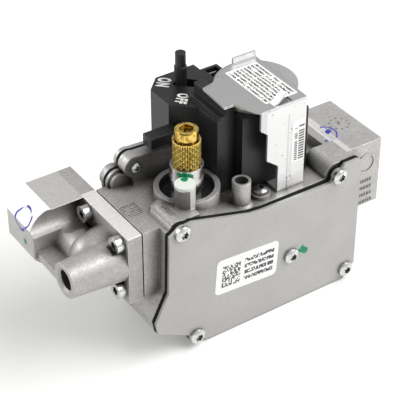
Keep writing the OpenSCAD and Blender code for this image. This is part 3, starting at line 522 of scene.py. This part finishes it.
def soft_solid(name, dark, light, roughness, grain_size, depth, edge=0.0, sheen=0.5):
    """Plastic or rubber: a grain in height, a little colour drift, rubbed edges; sheen is
    how much it mirrors."""
    finish, tree, shader, place = start_finish(name)
    normal = rounded(tree, 0.35)
    pits = grain(tree, place, grain_size, 3.0, 0.7)
    drift = grain(tree, place, 12, 3.0)
    colour = blend_colour(tree, steps(tree, drift, 0.3, 0.7), dark, light)
    colour = blend_colour(tree, times(tree, edge_mask(tree, normal), edge), colour, rgb(0.16))
    tree.links.new(colour, shader.inputs["Base Color"])
    dull = steps(tree, pits, 0.3, 0.7, roughness * 0.85, roughness * 1.15)
    tree.links.new(dull, shader.inputs["Roughness"])
    shader.inputs["Specular IOR Level"].default_value = sheen
    tree.links.new(relief(tree, pits, depth, normal), shader.inputs["Normal"])
    return finish


black_plastic = soft_solid("black_plastic", rgb(0.006), rgb(0.011), 0.4, 0.5, 0.03, 0.25)
black_rubber = soft_solid("black_rubber", rgb(0.004), rgb(0.009), 0.7, 0.8, 0.05, sheen=0.2)
seal_rubber = soft_solid("seal_rubber", rgb(0.010), rgb(0.016), 0.25, 2.0, 0.05)
former_plastic = soft_solid("former_plastic", (0.68, 0.65, 0.56, 1), (0.74, 0.72, 0.62, 1),
                            0.5, 0.9, 0.03)
copper_wire = turned_metal("copper_wire", (0.62, 0.24, 0.09, 1), 0.3, 0.28)
print("soft finishes:", black_plastic.name, black_rubber.name, former_plastic.name)

# %% [markdown]
# ## Handing out the finishes
# A solid keeps its shape; only its material slot changes. A table is the plain
# way to do it: one line per finish, with the solids that wear it. A solid left
# out of the table would keep its raw colour, so the cell checks for that.

# %% Give every solid its finish
finish_of = {
    aluminium_body: ["valve_body"],
    aluminium_elbow: ["outlet_elbow"],
    aluminium_rear: ["rear_cover"],
    cover_sheet: ["front_cover"],
    bracket_zinc: ["bracket"],
    pole_sheet: ["pole_cap"],
    tower_metal: ["regulator_tower"],
    stem_metal: ["main_stem"],
    screw_zinc: ["front_screws", "rear_screws", "wall_screw", "elbow_bolts", "nipple_screw"],
    screw_dark: ["deck_screw"],
    spring_steel: ["regulator_spring", "main_spring", "plunger_spring_a", "plunger_spring_b",
                   "plunger_a", "plunger_b", "inlet_screen", "clamp_ring"],
    brass: ["regulator_cap"],
    screw_brass: ["regulator_adjuster"],
    contact_brass: ["guide_tubes", "contact_bridge", "fixed_contacts"],
    tinned: ["terminals"],
    black_plastic: ["coil_housing", "switch_housing", "switch_lever"],
    black_rubber: ["front_gasket", "rear_gasket", "elbow_seal", "main_disc", "disc_a", "disc_b",
                   "main_diaphragm", "regulator_diaphragm"],
    seal_rubber: ["recess_seal"],
    former_plastic: ["bobbins"],
    copper_wire: ["windings"],
}
dressed = set()
for finish, names in finish_of.items():
    for name in names:
        slots = nodes[name].data.materials
        slots.clear()
        slots.append(finish)
        dressed.add(name)
print("dressed solids:", len(dressed), "left bare:", sorted(set(nodes) - dressed))

# %% [markdown]
# ## Copies of the return springs
# Each valve lifts 2.5 mm against a coil spring. The three return springs are
# copied and laid on the body named valve, and the CAD springs are hidden.

# %% Copy the return springs
def live_spring(name, anchor):
    """A copy of a CAD spring, laid on the valve body, with the CAD spring hidden."""
    coil = bpy.data.objects.new("live_" + name, nodes[name].data.copy())
    coil.matrix_world = nodes[name].matrix_world
    bpy.context.scene.collection.objects.link(coil)
    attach(coil, "valve")
    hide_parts(name)
    low, high = (Vector(corner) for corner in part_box(name))
    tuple(anchor(low, high))
    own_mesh(coil)


live_spring("plunger_spring_a", lambda low, high: high)
live_spring("plunger_spring_b", lambda low, high: high)
live_spring("main_spring", lambda low, high: low)

# %% [markdown]
# ## A sheet that lies on a face
# Labels are thin slabs with rounded corners. Each one is built flat on its own
# X and Y axes and then laid on its face by a matrix, so its print can be worked
# out in the label's own millimetres, whichever way the label is turned.

# %% Build thin slabs with rounded corners
def frame_matrix(centre, across, up):
    """A matrix whose X runs across, Y up and Z out of the face."""
    x = Vector(across).normalized()
    z = x.cross(Vector(up)).normalized()
    y = z.cross(x)
    turn = Matrix((x, y, z)).transposed().to_4x4()
    return Matrix.Translation(mm(*centre)) @ turn


def rounded_outline(width, height, radius, corner_steps=6):
    """Corner-rounded rectangle around the origin, in mm."""
    points = []
    for corner, (sx, sy) in enumerate([(1, 1), (-1, 1), (-1, -1), (1, -1)]):
        for step in range(corner_steps + 1):
            angle = math.radians(90 * corner + 90 * step / corner_steps)
            points.append((sx * (width / 2 - radius) + radius * math.cos(angle),
                           sy * (height / 2 - radius) + radius * math.sin(angle)))
    return points


def extrude_outline(name, outline, thickness, matrix, finish, body="valve"):
    """Raises a flat outline by a thickness and lets it ride on a body."""
    mesh = bpy.data.meshes.new(name)
    shape = bmesh.new()
    floor_ring = [shape.verts.new(mm(x, y, 0)) for x, y in outline]
    top_ring = [shape.verts.new(mm(x, y, thickness)) for x, y in outline]
    shape.faces.new(top_ring)
    shape.faces.new(list(reversed(floor_ring)))
    for i in range(len(outline)):
        j = (i + 1) % len(outline)
        shape.faces.new((floor_ring[i], floor_ring[j], top_ring[j], top_ring[i]))
    shape.to_mesh(mesh)
    shape.free()
    piece = bpy.data.objects.new(name, mesh)
    piece.matrix_world = matrix
    bpy.context.scene.collection.objects.link(piece)
    mesh.materials.append(finish)
    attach(piece, body)
    return piece


print("slab helpers ready")

# %% [markdown]
# ## Print without words
# The labels on the real part carry wording. Here the print is generic: rows of
# short dashes where lines of type would be, a field of random squares where a
# square code would be, and columns of bars where a bar code would be. All of them
# come from whole-number cells: floor the position, feed it to white noise, and
# keep the cells below a threshold.

# %% Printed paper
PRINT_BLACK = (0.012, 0.012, 0.014, 1)
PRINT_COVER, BAR_SHARE, STROKE_SHARE = 0.93, 0.6, 0.72


def window(tree, x, y, left, right, low, high):
    """1 inside a rectangle of label millimetres and 0 outside."""
    inside = times(tree, calc(tree, "GREATER_THAN", x, left), calc(tree, "LESS_THAN", x, right))
    tall = times(tree, calc(tree, "GREATER_THAN", y, low), calc(tree, "LESS_THAN", y, high))
    return times(tree, inside, tall)


def cells(tree, x, y, wide, tall, share):
    """Random cells of the given size; share is the part of them that is inked."""
    column = calc(tree, "FLOOR", calc(tree, "DIVIDE", x, wide))
    row = calc(tree, "FLOOR", calc(tree, "DIVIDE", y, tall))
    key = add(tree, "ShaderNodeCombineXYZ", {0: column, 1: row, 2: 3.0}).outputs[0]
    chance = add(tree, "ShaderNodeTexWhiteNoise", {"Vector": key},
                 noise_dimensions="3D").outputs["Value"]
    return calc(tree, "LESS_THAN", chance, share)


def dash_rows(tree, x, y, pitch, share, wide):
    """Rows of broken dashes: one row every pitch, a little over half of it inked."""
    part = calc(tree, "FRACT", calc(tree, "ADD", calc(tree, "DIVIDE", y, pitch), 50.0))
    line = times(tree, calc(tree, "GREATER_THAN", part, 0.2), calc(tree, "LESS_THAN", part, 0.8))
    groups = cells(tree, x, calc(tree, "ADD", y, 500.0), wide, pitch, share)
    strokes = cells(tree, calc(tree, "ADD", x, 300.0), y, pitch * 0.17, pitch * 0.2, STROKE_SHARE)
    return times(tree, times(tree, line, groups), strokes)


def printed_paper(name, fields, paper=(0.82, 0.82, 0.80, 1)):
    """White label; fields is a list of (kind, left, right, low, high, cell, share)."""
    finish, tree, shader, place = start_finish(name)
    split = add(tree, "ShaderNodeSeparateXYZ", {0: place})
    x = times(tree, split.outputs[0], 1000.0)
    y = times(tree, split.outputs[1], 1000.0)
    inked = None
    for kind, left, right, low, high, cell, share in fields:
        if kind == "squares":
            mark = cells(tree, x, y, cell, cell, share)
        elif kind == "rows":
            mark = dash_rows(tree, x, y, cell, share, cell * 0.5)
        else:
            bar = calc(tree, "FRACT", calc(tree, "ADD", calc(tree, "DIVIDE", x, cell), 50.0))
            mark = times(tree, calc(tree, "LESS_THAN", bar, BAR_SHARE),
                         cells(tree, x, 0.0, cell, 1.0, share))
        mark = times(tree, mark, window(tree, x, y, left, right, low, high))
        inked = mark if inked is None else calc(tree, "MAXIMUM", inked, mark)
    fibres = grain(tree, place, 1.2, 3.0)
    shade = blend_colour(tree, steps(tree, fibres, 0.3, 0.7), paper, darker(paper, 0.95))
    shade = blend_colour(tree, times(tree, inked, PRINT_COVER), shade, PRINT_BLACK)
    tree.links.new(shade, shader.inputs["Base Color"])
    tree.links.new(steps(tree, fibres, 0.3, 0.7, 0.42, 0.55), shader.inputs["Roughness"])
    tree.links.new(relief(tree, fibres, 0.01), shader.inputs["Normal"])
    return finish


print("printed paper ready")

# %% [markdown]
# ## The three labels
# A big one sits on the front cover, set down by hand and a little askew. One
# covers the right half of the bracket's top plate. A narrow one with bars runs
# up the bracket's leg. The sizes come from the corners seen in the photograph,
# laid on the faces that carry them.

# %% Stick on the labels
cover_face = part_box("front_cover")[0].y * 1000
plate_top = 114.5
leg_face = -21.4
tilt = math.radians(-3.7)
cover_print = printed_paper("print_cover", [
    ("squares", -14.6, -4.0, -6.6, 6.0, 0.72, 0.5),
    ("rows", -1.6, 15.6, -7.2, 7.2, 3.6, 1.0),
], (0.9, 0.9, 0.89, 1))
cover_label = extrude_outline(
    "label_cover", rounded_outline(36.2, 20.4, 2.6), 0.12,
    frame_matrix((-17.1, cover_face, 34.6), (math.cos(tilt), 0, math.sin(tilt)),
                 (-math.sin(tilt), 0, math.cos(tilt))), cover_print)
top_print = printed_paper("print_top", [
    ("rows", -15.2, 15.2, -8.2, 8.4, 2.15, 0.93),
])
leg_print = printed_paper("print_leg", [
    ("bars", -8.6, 11.0, 0.1, 3.3, 1.4, 0.92),
    ("bars", -7.4, 11.0, -2.3, -0.6, 1.1, 0.8),
], (0.86, 0.86, 0.85, 1))
top_label = extrude_outline(
    "label_top", rounded_outline(33, 18.3, 0.6), 0.1,
    frame_matrix((9.6, 0, plate_top), (0, -1, 0), (1, 0, 0)), top_print)
leg_label = extrude_outline(
    "label_leg", rounded_outline(23.5, 7.6, 0.5), 0.1,
    frame_matrix((16.4, leg_face, 91.5), (0, 0, -1), (1, 0, 0)), leg_print)
print("labels:", cover_label.name, top_label.name, leg_label.name,
      "on the cover at", round(cover_face, 2))

# %% [markdown]
# ## Two words on the switch
# The only words kept are ON and OFF, in white ink on the black top of the
# switch. A font curve is the quickest source of letters; it is turned into a
# mesh, measured and scaled. ON has the size seen in the photograph. OFF is a
# little smaller and further left, to stay clear of the rail beside the switch.

# %% Print ON and OFF
white_ink = soft_solid("white_ink", (0.72, 0.72, 0.70, 1), (0.8, 0.8, 0.78, 1), 0.5, 0.7, 0.01)


def printed_word(name, word, length, height, matrix, finish, body="valve"):
    """White letters of a given overall size, centred on the matrix's origin."""
    curve = bpy.data.curves.new(name, "FONT")
    curve.body = word
    curve.extrude = 0.02
    curve.offset = 0.05
    curve.space_character = 1.22
    source = bpy.data.objects.new(name + "_source", curve)
    bpy.context.scene.collection.objects.link(source)
    bpy.context.view_layer.update()
    letters = bpy.data.meshes.new_from_object(source)
    bpy.data.objects.remove(source)
    low = [min(v.co[i] for v in letters.vertices) for i in range(3)]
    high = [max(v.co[i] for v in letters.vertices) for i in range(3)]
    for v in letters.vertices:
        v.co = mm(length * ((v.co.x - low[0]) / (high[0] - low[0]) - 0.5),
                  height * ((v.co.y - low[1]) / (high[1] - low[1]) - 0.5),
                  0.06 * (v.co.z - low[2]) / (high[2] - low[2]))
    letters.materials.clear()
    letters.materials.append(finish)
    word_piece = bpy.data.objects.new(name, letters)
    word_piece.matrix_world = matrix
    bpy.context.scene.collection.objects.link(word_piece)
    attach(word_piece, body)
    return word_piece


switch_face = 106.5
word_directions = ((-1, -1, 0), (1, -1, 0))
on_word = printed_word("mark_on", "ON", 8.0, 6.8,
                       frame_matrix((-21.0, 36.7, switch_face), *word_directions), white_ink)
off_word = printed_word("mark_off", "OFF", 8.8, 6.0,
                        frame_matrix((-21.7, 19.6, switch_face), *word_directions), white_ink)
print("words:", on_word.name, off_word.name, "at height", round(switch_face, 2))

# %% [markdown]
# ## Raised casting marks
# The die leaves small raised figures on the metal. They are kept as plain
# shapes: a square stamp with a grid, rows of dashes, a ring of dots. Each group
# is one mesh of low blocks that stands a fraction of a millimetre proud.

# %% Raise the casting marks
TAPER_WIDE, TAPER_DEEP, SUNK = 0.86, 0.8, 0.05


def low_blocks(name, blocks, height, matrix, finish, body="valve"):
    """Blocks given as (x, y, width, depth, turn) in mm and degrees on one face."""
    shape = bmesh.new()
    for x, y, wide, deep, turn in blocks:
        spin = Matrix.Rotation(math.radians(turn), 4, "Z")
        made = bmesh.ops.create_cube(shape, size=1.0)
        for v in made["verts"]:
            top = v.co.z > 0
            corner = Vector((v.co.x * wide * (TAPER_WIDE if top else 1),
                             v.co.y * deep * (TAPER_DEEP if top else 1),
                             (v.co.z + 0.5) * (height + SUNK) - SUNK))
            v.co = (spin @ corner + Vector((x, y, 0))) / 1000
    mesh = bpy.data.meshes.new(name)
    shape.to_mesh(mesh)
    shape.free()
    piece = bpy.data.objects.new(name, mesh)
    piece.matrix_world = matrix
    bpy.context.scene.collection.objects.link(piece)
    mesh.materials.append(finish)
    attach(piece, body)
    return piece


def flat_top(x, y, z):
    """A face that looks up."""
    return frame_matrix((x, y, z), (1, 0, 0), (0, 1, 0))


def front_side(x, y, z):
    """A face that looks to the front."""
    return frame_matrix((x, y, z), (1, 0, 0), (0, 0, 1))


dice = random.Random(7)
stamp_shade = cast_aluminium("stamp_shade", 0.16, 0.02)
deck_top = 72.5
stamp = [(sx * 4.0, 0, 0.4, 8.4, 0) for sx in (-1, 1)]
stamp += [(0, sy * 4.0, 8.4, 0.4, 0) for sy in (-1, 1)]
first_cell, cell_pitch, filled_share = -2.85, 1.9, 0.75
for row in range(4):
    for column in range(4):
        if dice.random() < filled_share:
            stamp.append((first_cell + cell_pitch * column, first_cell + cell_pitch * row,
                          1.1, 0.7, dice.choice((0, 90))))
low_blocks("stamp_grid", stamp, 0.4, flat_top(-64.5, -2, deck_top), aluminium_body)
rows = []
row_start, row_end, top_row, row_pitch, dash_gap = -4.2, 3.6, 6.4, 4.3, 0.6
for row in range(4):
    x = row_start
    while x < row_end:
        wide = dice.uniform(0.6, 1.5)
        rows.append((x + wide / 2, top_row - row_pitch * row, wide, 2.1, 0))
        x += wide + dash_gap
low_blocks("stamp_rows", rows, 0.25, front_side(61.7, -20.5, 43.5), stamp_shade)
ring_radius, dot_count = 5, 10
dots = [(ring_radius * math.cos(a), ring_radius * math.sin(a), 0.9, 0.9, math.degrees(a))
        for a in (math.tau * i / dot_count for i in range(dot_count))]
low_blocks("stamp_dots", dots + [(0, 0, 2.2, 0.7, 40), (0.3, 1.6, 1.6, 0.6, 40)], 0.2,
           flat_top(60, 1, deck_top), stamp_shade)
pad_face = 76.2
strip = [(2.3 * i, 0.3 * (i % 2), 1.5, 1.7, 0) for i in range(4)]
low_blocks("stamp_pad", strip, 0.35, frame_matrix((-54.0, -12.6, pad_face), (0, -1, 0), (1, 0, 0)),
           stamp_shade)
print("raised marks:", len(stamp) + len(rows) + len(dots) + len(strip), "blocks")

# %% [markdown]
# ## Floor, backdrop and light
# The part stands on white paper. A pale floor with a touch of its own light for
# camera, mirror and glass rays reads as white while it still takes the part's
# shadow; the glow grows with the distance from the part. Two soft boxes and an
# even sky keep the greys near their true value.

# %% Light the corner
FLOOR_HALF = 3000
GLOW_FROM, GLOW_TO, GLOW_NEAR, GLOW_FAR = 0.3, 1.3, 0.14, 0.9


def paper_floor():
    """A large floor that catches the shadow."""
    mesh = bpy.data.meshes.new("paper_floor")
    corners = [mm(sx * FLOOR_HALF, sy * FLOOR_HALF, 0)
               for sx, sy in [(-1, -1), (1, -1), (1, 1), (-1, 1)]]
    mesh.from_pydata(corners, [], [(0, 1, 2, 3)])
    ground = bpy.data.objects.new("paper_floor", mesh)
    bpy.context.scene.collection.objects.link(ground)
    finish = bpy.data.materials.new("floor_paper")
    finish.use_nodes = True
    tree = finish.node_tree
    tree.nodes.remove(tree.nodes["Principled BSDF"])
    out = tree.nodes["Material Output"]
    rays = add(tree, "ShaderNodeLightPath")
    bounced = calc(tree, "MAXIMUM", rays.outputs["Is Glossy Ray"],
                   rays.outputs["Is Transmission Ray"])
    seen = calc(tree, "MAXIMUM", rays.outputs["Is Camera Ray"], bounced)
    dull = add(tree, "ShaderNodeBsdfDiffuse", {"Color": (0.78, 0.78, 0.765, 1)})
    place = add(tree, "ShaderNodeTexCoord").outputs["Object"]
    reach = add(tree, "ShaderNodeVectorMath", {0: place}, operation="LENGTH").outputs["Value"]
    far_glow = steps(tree, reach, GLOW_FROM, GLOW_TO, GLOW_NEAR, GLOW_FAR)
    glow = add(tree, "ShaderNodeEmission", {"Color": (1, 1, 0.985, 1),
                                            "Strength": times(tree, seen, far_glow)})
    both = add(tree, "ShaderNodeAddShader", {0: dull.outputs[0], 1: glow.outputs[0]})
    tree.links.new(both.outputs[0], out.inputs["Surface"])
    mesh.materials.append(finish)
    return ground


def soft_box(name, direction, distance, size, power):
    """An area lamp that looks at the middle of the part."""
    data = bpy.data.lights.new(name, "AREA")
    data.shape = "RECTANGLE"
    data.size, data.size_y = size
    data.energy = power
    lamp = bpy.data.objects.new(name, data)
    lamp.location = aim + Vector(direction).normalized() * distance
    lamp.rotation_mode = "QUATERNION"
    lamp.rotation_quaternion = (aim - lamp.location).to_track_quat("-Z", "Y")
    bpy.context.scene.collection.objects.link(lamp)
    return lamp


def pale_sky(light_level, mirror_level):
    """World: white for the camera, gentle for light, graded for reflections."""
    world = bpy.data.worlds.new("pale_sky")
    world.use_nodes = True
    tree = world.node_tree
    sky = tree.nodes["Background"]
    rays = add(tree, "ShaderNodeLightPath")
    towards = add(tree, "ShaderNodeTexCoord").outputs["Generated"]
    height = add(tree, "ShaderNodeSeparateXYZ", {0: towards}).outputs[2]
    graded = steps(tree, height, 0.0, 0.9, mirror_level[0], mirror_level[1])
    level = add(tree, "ShaderNodeMix",
                {0: rays.outputs["Is Glossy Ray"], 2: light_level, 3: graded}, data_type="FLOAT")
    level = add(tree, "ShaderNodeMix",
                {0: rays.outputs["Is Camera Ray"], 2: level.outputs[0], 3: 1.0}, data_type="FLOAT")
    sky.inputs["Color"].default_value = (1, 1, 1, 1)
    tree.links.new(level.outputs[0], sky.inputs["Strength"])
    bpy.context.scene.world = world


paper_floor()
pale_sky(0.5, (0.75, 0.42))
soft_box("key_box", (0.75, -0.5, 0.9), 0.9, (0.85, 0.85), 10.5)
soft_box("back_box", (-0.62, 0.66, 0.5), 0.9, (0.5, 0.4), 3.0)
